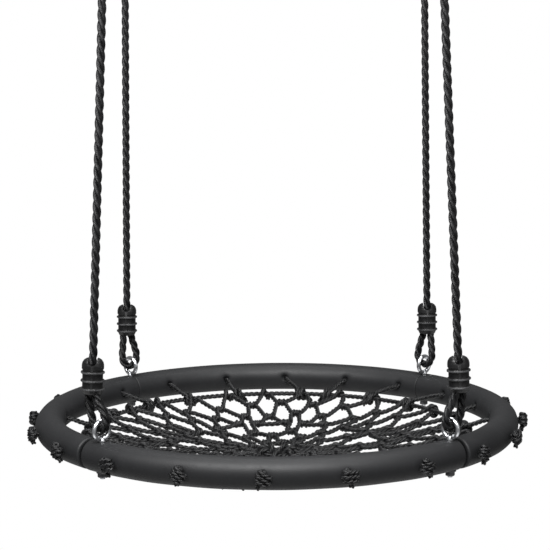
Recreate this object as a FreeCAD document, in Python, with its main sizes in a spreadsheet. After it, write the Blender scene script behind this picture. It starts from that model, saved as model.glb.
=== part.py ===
"""Saucer nest swing: a padded steel ring with a rope net, hung from four ropes.

Lengths are millimetres and angles are degrees. +Z is up and +Y is the rear of the swing.
The origin is the middle of the four points where the stand's hooks carry the hanging rings,
so the seat hangs below it. Each corner of the seat stands 45 degrees round from the front.
"""
import FreeCAD
import Part

import math
import os

DIMENSIONS = {
    "ring_radius": (281.5, "centreline radius of the steel seat ring"),
    "tube_od": (25.0, "steel tube, outside diameter"),
    "tube_wall": (1.5, "steel tube, wall thickness"),
    "swage_gap": (0.1, "radial gap between a swaged end and the tube it goes into"),
    "swage_reach": (4.5, "angle from a corner's bolt to each end of the overlap"),
    "swage_step": (0.4, "angle that a swage's shoulder takes up"),
    "foam_od": (37.0, "foam sleeve, outside diameter"),
    "foam_bore": (25.4, "foam sleeve, bore over the steel tube"),
    "foam_slit": (1.1, "angle of each of the two open slits at the front"),
    "foam_seam": (0.12, "angle between two foam sleeves that meet at the rear"),
    "slit_left": (49.0, "front left slit, from the front"),
    "slit_right": (47.0, "front right slit, from the front"),
    "slit_rear": (135.0, "rear slits, from the front"),
    "bolt_hole": (6.6, "hole for an eyebolt in the tube"),
    "foam_bolt_hole": (7.4, "hole for an eyebolt in the foam"),
    "seat_flat": (17.2, "height of the flats that an eye and a washer press in the foam"),
    "flat_dia": (17.0, "diameter of those flats"),
    "lash_count": (20.0, "lashings round the ring"),
    "lash_start": (-2.5, "first lashing, from the front"),
    "lash_hole": (7.0, "hole for a lashing"),
    "eye_height": (31.0, "centre of an eye above the ring's middle plane"),
    "eye_bore": (16.0, "eye, inside diameter"),
    "eye_wire": (5.5, "eye, wire diameter"),
    "shank_dia": (6.0, "eyebolt shank"),
    "shank_end": (26.0, "depth of the shank's end below the ring's middle plane"),
    "washer_dia": (14.0, "washer, outside diameter"),
    "washer_thick": (1.6, "washer thickness"),
    "nut_flats": (10.0, "nut, across its flats"),
    "nut_height": (5.0, "nut height"),
    "nut_bore": (6.1, "nut bore over the shank"),
    "rope_dia": (10.0, "hanging rope"),
    "leg_spacing": (10.6, "distance between a loop's legs where a ferrule holds them"),
    "leg_inside": (4.0, "length of rope end held inside a ferrule"),
    "lower_bend": (12.5, "centreline radius of a lower loop round its eye"),
    "lower_drop": (0.5, "lowest point of a lower loop above its eye's centre"),
    "pivot_rise": (6.2, "pivot of a lower loop above its eye's centre"),
    "ferrule_height": (41.0, "moulded ferrule, overall height"),
    "ferrule_core": (22.0, "ferrule core diameter between its ribs"),
    "ferrule_band": (25.4, "ferrule diameter at its top and bottom bands"),
    "ferrule_rib": (27.4, "ferrule diameter over its ribs"),
    "rib_pitch": (9.5, "distance between two ribs"),
    "rib_thick": (1.8, "rib thickness"),
    "web_width": (3.4, "width of the upright webs that cross the ribs"),
    "notch_depth": (8.0, "depth of the rope's notch in a ferrule's top"),
    "lower_ferrule": (74.0, "underside of a lower ferrule above the ring's middle plane"),
    "upper_ferrule": (530.0, "underside of an upper ferrule above the ring's middle plane"),
    "top_pivot": (611.0, "pivot of an upper loop above the ring's middle plane"),
    "front_low": (209.0, "sideways place of a front rope at its lower ferrule"),
    "front_high": (185.0, "sideways place of a front rope at its top pivot"),
    "rear_low": (203.2, "sideways place of a rear rope at its lower ferrule"),
    "rear_high": (196.7, "sideways place of a rear rope at its top pivot"),
    "hanger_bore": (40.0, "hanging ring, inside diameter"),
    "hanger_wire": (8.0, "hanging ring, wire diameter"),
    "pivot_gap": (0.3, "gap between an upper loop and its hanging ring"),
    "net_rope": (6.0, "net rope"),
    "net_gap": (0.6, "gap between two rows of the net where they meet"),
    "net_bend": (3.8, "centreline radius of a net rope's turns"),
    "tip_spread": (1.25, "a flat tip's half width, in half pitches of the row outside it"),
    "rim_radius": (236.0, "centreline radius of the net's rim rope"),
    "rim_drop": (16.0, "depth of the rim rope below the ring's middle plane"),
    "net_sag": (44.0, "depth of the net's middle below the ring's middle plane"),
    "knot_reach": (306.3, "distance of a stopper knot's centre from the ring's axis"),
    "knot_width": (21.0, "stopper knot, across"),
    "knot_thick": (12.0, "stopper knot, along its rope"),
}
NET_BANDS = (236.0, 199.0, 166.0, 135.0, 106.0, 78.0, 50.0, 22.0)
"""Radii where a row of the net meets the next one, from the rim inwards."""
NET_MESHES = (28, 28, 28, 14, 14, 14, 7)
"""Meshes round each row, each a multiple of the next row's."""
LASH_SKEWS = (
    -0.8, -1.1, -3.0, -3.0, -1.5, 1.0, 2.5, -1.5, 2.0, -2.0,
    1.5, -2.0, 1.0, -1.0, 2.0, 0.5, 6.9, 5.3, 2.3, -3.9,
)
"""How far round the rim each lashing is tied from its own hole, from the rear left on."""
CORNERS = {
    "front_left": (-1, -1),
    "front_right": (1, -1),
    "rear_right": (1, 1),
    "rear_left": (-1, 1),
}
"""Name of each corner, with its side and its end."""

doc = FreeCAD.newDocument("saucer_nest_swing")
sheet = doc.addObject("Spreadsheet::Sheet", "dims")
for row, (alias, (number, note)) in enumerate(DIMENSIONS.items(), start=1):
    sheet.set(f"A{row}", alias)
    sheet.set(f"B{row}", str(number))
    sheet.setAlias(f"B{row}", alias)
    sheet.set(f"C{row}", note)
doc.recompute()

nodes = []
"""The objects that are written out, one for each node."""


def dim(alias):
    """A driving dimension, read from the sheet."""
    return float(sheet.get(alias))


def add(kind, name, **bound):
    """A new object whose properties are bound to expressions on the sheet."""
    made = doc.addObject(kind, name)
    made.Label = name
    for prop, expression in bound.items():
        made.setExpression(prop, str(expression))
    return made


def keep(made, placement=None):
    """Count an object as a node, and set its place."""
    if placement is not None:
        made.Placement = placement
    nodes.append(made)
    return made


def at(x, y, z, turn=FreeCAD.Rotation()):
    """A placement, with heights measured from the ring's middle plane."""
    return FreeCAD.Placement(FreeCAD.Vector(x, y, z - HANG), turn)


def about_z(angle):
    """A turn about +Z."""
    return FreeCAD.Rotation(FreeCAD.Vector(0, 0, 1), angle)


def polar(radius, angle, height=0.0):
    """A point at an angle from the front, counted towards the right."""
    a = math.radians(angle)
    return FreeCAD.Vector(radius * math.sin(a), -radius * math.cos(a), height)


def cut(name, base, tools):
    """The base with every tool taken out of it."""
    made = doc.addObject("Part::Cut", name)
    made.Label = name
    made.Base = base
    if len(tools) == 1:
        made.Tool = tools[0]
    else:
        made.Tool = doc.addObject("Part::Compound", name + "_tools")
        made.Tool.Links = tools
    return made


def fuse(name, shapes):
    """All the shapes as one solid."""
    made = doc.addObject("Part::MultiFuse", name)
    made.Label = name
    made.Shapes = shapes
    return made


def rope_wire(points, bend):
    """A path of straight runs with tangent arcs, and the arcs' radii."""
    corners = [FreeCAD.Vector(p) for p in points]
    edges, radii, start = [], [], corners[0]
    for before, corner, after in zip(corners, corners[1:], corners[2:]):
        back = (before - corner).normalize()
        ahead = (after - corner).normalize()
        half_turn = (math.pi - back.getAngle(ahead)) / 2
        setback = bend * math.tan(half_turn)
        middle = (back + ahead).normalize() * (bend / math.cos(half_turn) - bend)
        first, last = corner + back * setback, corner + ahead * setback
        edges.append(Part.LineSegment(start, first).toShape())
        edges.append(Part.Arc(first, corner + middle, last).toShape())
        radii.append(bend)
        start = last
    edges.append(Part.LineSegment(start, corners[-1]).toShape())
    return Part.Wire(edges), radii


def rope_solid(wire, diameter, name):
    """A round rope along a wire, checked against its section times its length."""
    start = wire.Edges[0]
    circle = Part.makeCircle(
        diameter / 2, start.Vertexes[0].Point, start.tangentAt(start.FirstParameter)
    )
    solid = wire.makePipe(Part.Face(Part.Wire(circle)))
    expected = math.pi * diameter ** 2 / 4 * wire.Length
    if not solid.isValid() or abs(solid.Volume / expected - 1) > 0.005:
        raise RuntimeError(f"{name}: volume {solid.Volume:.0f}, expected {expected:.0f}")
    return solid


def feature(name, shape, placement=None):
    """A node whose shape comes from Part's own functions."""
    made = doc.addObject("Part::Feature", name)
    made.Label = name
    made.Shape = shape
    made.Placement = placement or at(0, 0, 0)
    return keep(made)


HANGER_RISE = dim("hanger_bore") + dim("hanger_wire") / 2
HANG = dim("top_pivot") + HANGER_RISE
"""Height of the hooks' contact points above the ring's middle plane."""
CORNER_REACH = dim("ring_radius") * math.sqrt(0.5)
"""Distance of an eyebolt from the swing's middle planes."""


def arc_tube(name, outer, inner, start, end):
    """An arc of rod round the ring and the rod that bores it out."""
    solids = []
    for part, radius in (("outer", outer), ("bore", inner)):
        torus = add(
            "Part::Torus", f"{name}_{part}", Radius1="dims.ring_radius", Radius2=radius
        )
        torus.Angle3 = end - start
        torus.Placement = FreeCAD.Placement(FreeCAD.Vector(), about_z(start - 90))
        solids.append(torus)
    return solids


def bolt_hole(name, angle, diameter):
    """An upright hole through the ring at a corner."""
    hole = add(
        "Part::Cylinder", name, Radius=f"{diameter} / 2", Height="4 * dims.foam_od"
    )
    hole.Placement = FreeCAD.Placement(
        polar(dim("ring_radius"), angle, -2 * dim("foam_od")), FreeCAD.Rotation()
    )
    return hole


def lash_angles(start=-360.0, end=360.0):
    """Angles of the lashings that lie between two angles."""
    count = int(dim("lash_count"))
    turns = [dim("lash_start") + 360.0 / count * k for k in range(-count, count)]
    return [a for a in turns if start < a < end]


def lash_holes(name, start, end):
    """A level hole through the ring at each lashing between two angles."""
    holes = []
    for k, angle in enumerate(lash_angles(start, end)):
        hole = add(
            "Part::Cylinder", f"{name}_{k}", Radius="dims.lash_hole / 2", Height="2 * dims.foam_od"
        )
        inward = FreeCAD.Rotation(FreeCAD.Vector(0, 0, 1), -polar(1, angle))
        hole.Placement = FreeCAD.Placement(
            polar(dim("ring_radius") + dim("foam_od"), angle), inward
        )
        holes.append(hole)
    return holes


def ring_tube(name, first, last):
    """One quarter of the steel ring, with a swaged end that goes into the next quarter."""
    reach, step = dim("swage_reach"), dim("swage_step")
    start, butt, tip = first - reach, last - reach, last + reach
    bore = "dims.tube_od / 2 - dims.tube_wall"
    swage = bore + " - dims.swage_gap"
    wide, wide_bore = arc_tube(name + "_wide", "dims.tube_od / 2", bore, start, butt)
    wide_bore.Angle3 = butt - step - start
    thin, thin_bore = arc_tube(name + "_thin", swage, swage + " - dims.tube_wall", butt, tip)
    thin_bore.Angle3 = tip - butt + step
    thin_bore.Placement = FreeCAD.Placement(FreeCAD.Vector(), about_z(butt - step - 90))
    solid = fuse(name + "_solid", [wide, thin])
    holes = [
        bolt_hole(f"{name}_bolt_{k}", angle, "dims.bolt_hole")
        for k, angle in enumerate((first, last))
    ]
    holes += lash_holes(name + "_lash", start, tip)
    keep(cut(name, solid, [wide_bore, thin_bore] + holes), at(0, 0, 0))


def foam_sleeve(name, first, last, corners):
    """One foam sleeve, pressed flat where an eye and a washer bear on it."""
    outer, bore = arc_tube(name, "dims.foam_od / 2", "dims.foam_bore / 2", first, last)
    tools = [bore] + lash_holes(name + "_lash", first, last)
    for k, angle in enumerate(corners):
        tools.append(bolt_hole(f"{name}_bolt_{k}", angle, "dims.foam_bolt_hole"))
        for side in (-1, 1):
            flat = add(
                "Part::Cylinder",
                f"{name}_flat_{k}_{'top' if side > 0 else 'under'}",
                Radius="dims.flat_dia / 2",
                Height="dims.foam_od",
            )
            base = dim("seat_flat") if side > 0 else -dim("seat_flat") - dim("foam_od")
            flat.Placement = FreeCAD.Placement(
                polar(dim("ring_radius"), angle, base), FreeCAD.Rotation()
            )
            tools.append(flat)
    keep(cut(name, outer, tools), at(0, 0, 0))


def eyebolt(corner, side, end):
    """A forged eye on a threaded shank, with the eye in an upright plane across the ring."""
    name = "eyebolt_" + corner
    eye = add(
        "Part::Torus",
        name + "_eye",
        Radius1="dims.eye_bore / 2 + dims.eye_wire / 2",
        Radius2="dims.eye_wire / 2",
    )
    eye.Placement = FreeCAD.Placement(
        FreeCAD.Vector(0, 0, dim("eye_height")),
        FreeCAD.Rotation(FreeCAD.Vector(1, 0, 0), 90),
    )
    shank = add(
        "Part::Cylinder",
        name + "_shank",
        Radius="dims.shank_dia / 2",
        Height="dims.shank_end + dims.eye_height - dims.eye_bore / 2 - dims.eye_wire / 2",
    )
    shank.Placement = FreeCAD.Placement(
        FreeCAD.Vector(0, 0, -dim("shank_end")), FreeCAD.Rotation()
    )
    place = at(side * CORNER_REACH, end * CORNER_REACH, 0, about_z(45.0 * side * end))
    keep(fuse(name, [eye, shank]), place)


def group_at_corners(name, make):
    """One solid at each corner, as one node."""
    solids = []
    for corner, (side, end) in CORNERS.items():
        solid = make(f"{name}_{corner}")
        solid.Placement = FreeCAD.Placement(
            FreeCAD.Vector(side * CORNER_REACH, end * CORNER_REACH, solid.Placement.Base.z),
            about_z(45.0 * side * end),
        )
        solids.append(solid)
    group = doc.addObject("Part::Compound", name)
    group.Links = solids
    keep(group, at(0, 0, 0))


def washer(name):
    """A plain washer under the foam."""
    disc = add("Part::Cylinder", name + "_disc", Radius="dims.washer_dia / 2",
               Height="dims.washer_thick")
    hole = add("Part::Cylinder", name + "_hole", Radius="dims.bolt_hole / 2",
               Height="dims.washer_thick")
    made = cut(name, disc, [hole])
    made.Placement.Base.z = -dim("seat_flat") - dim("washer_thick")
    return made


def nut(name):
    """A hexagon nut under the washer."""
    hexagon = add("Part::Prism", name + "_hexagon", Height="dims.nut_height",
                  Circumradius="dims.nut_flats / 2 / cos(30 deg)")
    hexagon.Polygon = 6
    hole = add("Part::Cylinder", name + "_hole", Radius="dims.nut_bore / 2",
               Height="dims.nut_height")
    made = cut(name, hexagon, [hole])
    made.Placement.Base.z = -dim("seat_flat") - dim("washer_thick") - dim("nut_height")
    return made


def closed_sketch(body, name, plane, points):
    """A sketch of one closed outline on a plane of its own body."""
    sketch = body.newObject("Sketcher::SketchObject", name)
    role = next(o for o in body.Origin.OriginFeatures if o.Role == plane)
    sketch.AttachmentSupport = [(role, "")]
    sketch.MapMode = "FlatFace"
    corners = [FreeCAD.Vector(x, y, 0) for x, y in points]
    for a, b in zip(corners, corners[1:] + corners[:1]):
        sketch.addGeometry(Part.LineSegment(a, b), False)
    return sketch


def ferrule(name, place):
    """A moulded ferrule: ribs round a core, four upright webs, and a notch for the rope."""
    body = doc.addObject("PartDesign::Body", name)
    body.Label = name
    core, band, rib = dim("ferrule_core") / 2, dim("ferrule_band") / 2, dim("ferrule_rib") / 2
    height, pitch, thick = dim("ferrule_height"), dim("rib_pitch"), dim("rib_thick")
    outline = [(0, 0), (core - 1, 0), (band, pitch / 2)]
    for k in range(3):
        foot = pitch * (k + 0.5)
        outline += [(rib, foot), (rib, foot + thick)]
        if k < 2:
            outline += [(core, foot + thick), (core, foot + pitch)]
    crown = outline[-1][1]
    outline += [(core, crown), (core, crown + 3), (band, crown + 4)]
    outline += [(band, height - 3), (band - 3, height), (0, height)]
    profile = closed_sketch(body, name + "_profile", "XZ_Plane", outline)
    turned = body.newObject("PartDesign::Revolution", name + "_turned")
    turned.Profile = profile
    turned.ReferenceAxis = (profile, ["V_Axis"])
    turned.Angle = 360
    doc.recompute()
    half, reach = dim("web_width") / 2, band
    across = [
        (half, half), (reach, half), (reach, -half), (half, -half), (half, -reach), (-half, -reach),
        (-half, -half), (-reach, -half), (-reach, half), (-half, half), (-half, reach), (half, reach),
    ]
    cross = closed_sketch(body, name + "_cross", "XY_Plane", across)
    webs = body.newObject("PartDesign::Pad", name + "_webs")
    webs.Profile = cross
    webs.Length = height - 4
    doc.recompute()
    slot_half, floor = dim("rope_dia") / 2 + 0.3, height - dim("notch_depth")
    slot = closed_sketch(
        body, name + "_slot", "XZ_Plane",
        [(-slot_half, floor), (slot_half, floor), (slot_half, height + 1), (-slot_half, height + 1)],
    )
    notch = body.newObject("PartDesign::Pocket", name + "_notch")
    notch.Profile = slot
    notch.Type = "ThroughAll"
    notch.Midplane = True
    keep(body, place)


def rope_end(side, end, height):
    """A point on a hanging rope's centreline."""
    low, high = ("front_low", "front_high") if end < 0 else ("rear_low", "rear_high")
    share = (height - dim("lower_ferrule")) / (dim("top_pivot") - dim("lower_ferrule"))
    x = dim(low) + (dim(high) - dim(low)) * share
    return FreeCAD.Vector(side * x, end * CORNER_REACH, height)


def loop_shape(name, bend, length):
    """A loop of rope that starts at its bight's lowest point, with its two legs upwards."""
    half = dim("leg_spacing") / 2
    reach = math.hypot(half, length - bend)
    lean = math.atan2(length - bend, half) - math.acos(bend / reach)
    touch = FreeCAD.Vector(bend * math.cos(lean), 0, bend + bend * math.sin(lean))
    mirror = FreeCAD.Vector(-touch.x, 0, touch.z)
    wire = Part.Wire([
        Part.LineSegment(FreeCAD.Vector(-half, 0, length), mirror).toShape(),
        Part.Arc(mirror, FreeCAD.Vector(0, 0, 0), touch).toShape(),
        Part.LineSegment(touch, FreeCAD.Vector(half, 0, length)).toShape(),
    ])
    return rope_solid(wire, dim("rope_dia"), name)


def frame_of(across, along):
    """A rotation whose Z lies along one direction and whose X is as near another as it can be."""
    up = FreeCAD.Vector(along).normalize()
    side = (across - up * (across * up)).normalize()
    return FreeCAD.Rotation(side, up.cross(side), up, "ZXY")


def hanging_set(corner, side, end):
    """One rope with its loops and ferrules, and the ring that the stand's hook carries."""
    low, high = rope_end(side, end, dim("lower_ferrule")), rope_end(side, end, dim("top_pivot"))
    line = (high - low).normalize()
    sideways, endways = FreeCAD.Vector(1, 0, 0), FreeCAD.Vector(0, 1, 0)
    upright = frame_of(sideways, line)
    flipped = frame_of(sideways, line * -1)
    stacked = dim("ferrule_height")
    foot = low + line * (stacked - dim("notch_depth"))
    shoulder = rope_end(side, end, dim("upper_ferrule"))
    crown = shoulder + line * stacked

    drop = FreeCAD.Vector(0, 0, HANG)
    ferrule("lower_ferrule_" + corner, FreeCAD.Placement(low - drop, upright))
    ferrule("upper_ferrule_" + corner, FreeCAD.Placement(crown - drop, flipped))

    rope = add("Part::Cylinder", "hanging_rope_" + corner, Radius="dims.rope_dia / 2")
    rope.Height = (shoulder + line * dim("notch_depth") - foot).Length
    keep(rope, FreeCAD.Placement(foot - drop, upright))

    bend = dim("hanger_wire") / 2 + dim("rope_dia") / 2 + dim("pivot_gap")
    top = high + line * bend
    length = (top - crown).Length + dim("leg_inside")
    shape = loop_shape("upper_loop_" + corner, bend, length)
    lean = frame_of(endways, line * -1)
    feature("upper_loop_" + corner, shape, FreeCAD.Placement(top - drop, lean))

    eye = FreeCAD.Vector(
        side * CORNER_REACH, end * CORNER_REACH, dim("eye_height") + dim("lower_drop")
    )
    reach = low - eye
    lean = frame_of(FreeCAD.Vector(1, -side * end, 0), reach)
    shape = loop_shape("lower_loop_" + corner, dim("lower_bend"), reach.Length + dim("leg_inside"))
    feature("lower_loop_" + corner, shape, FreeCAD.Placement(eye - drop, lean))

    hanger = add(
        "Part::Torus", "hanging_ring_" + corner,
        Radius1="dims.hanger_bore / 2 + dims.hanger_wire / 2", Radius2="dims.hanger_wire / 2",
    )
    middle = high + FreeCAD.Vector(0, 0, dim("hanger_bore") / 2 + dim("hanger_wire") / 2)
    keep(hanger, FreeCAD.Placement(
        middle - drop, FreeCAD.Rotation(FreeCAD.Vector(1, 0, 0), 90)
    ))
    print(f"{corner}: loop radii {bend:.1f} and {dim('lower_bend'):.1f}, rope {rope.Height}")


def net_height(radius):
    """Height of the net's surface, a shallow bowl."""
    rise = (dim("net_sag") - dim("rim_drop")) * (radius / dim("rim_radius")) ** 2
    return rise - dim("net_sag")


def tip_spare(radius, other, half_pitch):
    """How far a rounded tip stands back from its corner, along the tip's own radius."""
    along = abs(radius - other * math.cos(half_pitch))
    half_turn = math.atan2(along, other * math.sin(half_pitch))
    return dim("net_bend") / math.cos(half_turn) - dim("net_bend")


def net_row(number, outer, inner, meshes, start, spread):
    """One zigzag rope of the net, made as two halves that join in the middle of a run.

    Its first outer tip is at the start angle. A tip with a spread is flat for that angle on
    both sides, so that two tips of the row outside it meet it.
    """
    pitch = 360.0 / meshes
    offset = (dim("net_rope") + dim("net_gap")) / 2
    half_pitch = math.radians(pitch / 2)
    tips = (
        outer - offset + (0.0 if spread else tip_spare(outer, inner, half_pitch)),
        inner + offset - tip_spare(inner, outer, half_pitch),
    )

    def corners(k):
        radius = tips[k % 2]
        sides = (-spread, spread) if spread and k % 2 == 0 else (0.0,)
        return [polar(radius, start + pitch / 2 * k + a, net_height(radius)) for a in sides]

    halves = []
    for first in (0, meshes):
        last = first + meshes
        points = [(corners(first - 1)[-1] + corners(first)[0]) * 0.5]
        for k in range(first, last):
            points += corners(k)
        points.append((corners(last - 1)[-1] + corners(last)[0]) * 0.5)
        wire, radii = rope_wire(points, dim("net_bend"))
        halves.append(rope_solid(wire, dim("net_rope"), f"net_row_{number}"))
    print(f"net_row_{number}: {len(radii)} turns a half, radius {min(radii):.1f}")
    feature(f"net_row_{number}", halves[0].fuse(halves[1]))


def net():
    """The rim rope, the zigzag rows and the small ring that closes the net's middle."""
    half_pitch = (dim("net_rope") + dim("net_gap")) / 2
    centre_radius = NET_BANDS[-1] - half_pitch
    for name, radius in (("net_rim_rope", dim("rim_radius")), ("net_centre_ring", centre_radius)):
        ring = add("Part::Torus", name, Radius2="dims.net_rope / 2")
        ring.Radius1 = radius
        keep(ring, at(0, 0, net_height(radius)))
    bands = list(NET_BANDS)
    bands[0] -= half_pitch
    start = dim("lash_start") + 180.0 / NET_MESHES[0]
    before = NET_MESHES[0]
    for number, meshes in enumerate(NET_MESHES, start=1):
        narrowed = meshes < before
        start += 180.0 / before if narrowed else 0.0
        spread = dim("tip_spread") * 180.0 / before if narrowed else 0.0
        net_row(number, bands[number - 1], bands[number], meshes, start, spread)
        start += 180.0 / meshes
        before = meshes


def lashings():
    """The short ropes from the stopper knots, through the ring, down to the rim rope."""
    ties, knots = [], []
    rim = FreeCAD.Vector(0, 0, net_height(dim("rim_radius")))
    inside = dim("ring_radius") - dim("foam_od") / 2 - dim("net_rope")
    for k, angle in enumerate(lash_angles(-180.0, 180.0)):
        points = [
            polar(dim("knot_reach"), angle),
            polar(inside, angle),
            polar(dim("rim_radius"), angle + LASH_SKEWS[k]) + rim,
        ]
        wire, radii = rope_wire(points, dim("net_rope"))
        ties.append(rope_solid(wire, dim("net_rope"), f"lashing {k}"))
        knot = add(
            "Part::Ellipsoid", f"rim_knot_{k}",
            Radius1="dims.knot_thick / 2", Radius2="dims.knot_width / 2",
            Radius3="dims.knot_width / 2",
        )
        knot.Placement = FreeCAD.Placement(
            polar(dim("knot_reach"), angle), FreeCAD.Rotation(FreeCAD.Vector(0, 0, 1),
                                                              polar(1, angle))
        )
        knots.append(knot)
    feature("net_lashings", Part.makeCompound(ties))
    group = doc.addObject("Part::Compound", "rim_knots")
    group.Links = knots
    keep(group, at(0, 0, 0))


ring_tube("ring_tube_front", -45, 45)
ring_tube("ring_tube_right", 45, 135)
ring_tube("ring_tube_rear", 135, 225)
ring_tube("ring_tube_left", 225, 315)
left, right, rear = dim("slit_left"), dim("slit_right"), dim("slit_rear")
half, seam = dim("foam_slit") / 2, dim("foam_seam") / 2
foam_sleeve("foam_sleeve_front", half - left, right - half, (-45, 45))
foam_sleeve("foam_sleeve_right", right + half, rear - seam, (rear,))
foam_sleeve("foam_sleeve_rear", rear + seam, 360 - rear - seam, (rear, 360 - rear))
foam_sleeve("foam_sleeve_left", 360 - rear + seam, 360 - left - half, (360 - rear,))
for corner, (side, end) in CORNERS.items():
    eyebolt(corner, side, end)
    hanging_set(corner, side, end)
group_at_corners("eyebolt_washers", washer)
group_at_corners("eyebolt_nuts", nut)
net()
lashings()

print(f"upper pivots {dim('top_pivot') - HANG:.1f}, "
      f"lower pivots {dim('eye_height') + dim('pivot_rise') - HANG:.1f}, "
      f"corners {CORNER_REACH:.2f}")

doc.recompute()
for made in doc.Objects:
    if "Invalid" in made.State or "Error" in made.State:
        raise RuntimeError(f"{made.Label} failed: {made.State}")
os.makedirs("parts", exist_ok=True)
for node in nodes:
    if node.Shape.isNull() or not node.Shape.isValid():
        raise RuntimeError(f"{node.Label} has no valid shape")
    node.Shape.exportStep(f"parts/{node.Label}.step")
    print(f"{node.Label}: {len(node.Shape.Solids)} solids, {node.Shape.Volume:.0f} mm3")
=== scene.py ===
"""Saucer nest swing: the looks of a padded ring with a rope net, hung from four ropes.

Lengths are metres and angles are degrees. +Z is up and +Y is the rear of the swing. The
origin is the middle of the four points where the stand's hooks carry the hanging rings, so
the seat hangs below it. Angles round the seat are counted from the front to the right.
"""

import logging
import math
import random
from dataclasses import dataclass, field
from enum import Enum
from typing import Any, Iterable, Sequence

import bpy
import numpy as np
from mathutils import Matrix, Vector


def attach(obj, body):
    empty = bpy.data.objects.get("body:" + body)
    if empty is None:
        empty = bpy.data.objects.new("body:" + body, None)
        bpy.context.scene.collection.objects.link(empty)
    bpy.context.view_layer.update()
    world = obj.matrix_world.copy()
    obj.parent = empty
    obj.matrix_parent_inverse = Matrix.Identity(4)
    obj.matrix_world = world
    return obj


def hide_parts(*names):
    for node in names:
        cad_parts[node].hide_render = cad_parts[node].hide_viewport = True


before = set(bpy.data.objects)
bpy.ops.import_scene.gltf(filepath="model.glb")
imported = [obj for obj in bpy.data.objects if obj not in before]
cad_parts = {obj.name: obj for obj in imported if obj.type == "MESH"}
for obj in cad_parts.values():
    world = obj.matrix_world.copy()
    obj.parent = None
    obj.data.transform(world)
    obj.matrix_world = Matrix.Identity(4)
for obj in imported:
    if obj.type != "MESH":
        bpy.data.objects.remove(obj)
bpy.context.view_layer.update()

LOG = logging.getLogger("saucer_nest_swing")

HANG = 0.655
"""Height of the hooks above the ring's middle plane."""
RING = 0.2815
"""Centreline radius of the seat's ring."""
CORNER = RING * math.sqrt(0.5)
"""Distance of an eyebolt from the swing's middle planes."""
CORNERS = {
    "front_left": (-1, -1),
    "front_right": (1, -1),
    "rear_right": (1, 1),
    "rear_left": (-1, 1),
}
"""Name of each corner, with its side and its end."""
LASH_ANGLES = tuple(-164.5 + 18.0 * k for k in range(20))
"""Angles of the lashings round the ring."""
LASH_SKEWS = (
    -0.8, -1.1, -3.0, -3.0, -1.5, 1.0, 2.5, -1.5, 2.0, -2.0,
    1.5, -2.0, 1.0, -1.0, 2.0, 0.5, 6.9, 5.3, 2.3, -3.9,
)
"""How far round the rim each lashing is tied from its own hole."""
FERRULE_FOOT = 0.074
"""Height of the lower ferrules' lower ends above the ring's middle plane."""
UPPER_SHOULDER = 0.530
"""Height at which the ropes enter the upper ferrules."""
LOOP_CROWN = 0.611
"""Height of the hanging rings' wire where the upper loops hang from it."""
FERRULE_HEIGHT = 0.041
WAVE_SCALE = 0.314
"""Scale of a Wave texture that repeats once a metre."""


class Slot(Enum):
    """The record's material slots."""

    FOAM = "seat_foam"
    TUBE = "steel_tube"
    ZINC = "zinc_plate"
    ROPE = "hanging_rope"
    NET = "net_rope"
    FERRULE = "ferrule_plastic"


class Hand(Enum):
    """The way that a rope's strands wind."""

    LEFT = -1.0
    RIGHT = 1.0


def polar(radius: float, angle: float, height: float = 0.0) -> Vector:
    """A point round the ring, with its height above the ring's middle plane."""
    a = math.radians(angle)
    return Vector((radius * math.sin(a), -radius * math.cos(a), height - HANG))


def run_from(middle: float, angles: np.ndarray) -> np.ndarray:
    """Signed distances along the ring's centreline from one angle to others."""
    return np.radians((angles - middle + 180.0) % 360.0 - 180.0) * RING


def smooth(edge: float, width: float, value: np.ndarray) -> np.ndarray:
    """1 below edge, 0 past edge plus width, and a smooth step between them."""
    t = np.clip((value - edge) / width, 0.0, 1.0)
    return 1.0 - t * t * (3.0 - 2.0 * t)


# Shader maths


class Wire:
    """A number socket that takes part in Python's own arithmetic."""

    def __init__(self, nodes: "Nodes", socket: bpy.types.NodeSocket) -> None:
        self.nodes = nodes
        self.socket = socket

    def maths(self, operation: str, first: Any, second: Any) -> "Wire":
        """A Math node on two values.

        Args:
            operation: the node's operation.
            first: its first value or wire.
            second: its second value or wire.

        Returns:
            The node's output.
        """
        made = self.nodes.make(
            "ShaderNodeMath", {"operation": operation}, {0: first, 1: second}
        )
        return Wire(self.nodes, made.outputs[0])

    def __add__(self, other: Any) -> "Wire":
        """self + other."""
        return self.maths("ADD", self, other)

    __radd__ = __add__

    def __sub__(self, other: Any) -> "Wire":
        """self - other."""
        return self.maths("SUBTRACT", self, other)

    def __rsub__(self, other: Any) -> "Wire":
        """other - self."""
        return self.maths("SUBTRACT", other, self)

    def __mul__(self, other: Any) -> "Wire":
        """self * other."""
        return self.maths("MULTIPLY", self, other)

    __rmul__ = __mul__

    def __pow__(self, other: Any) -> "Wire":
        """self ** other."""
        return self.maths("POWER", self, other)


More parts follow.
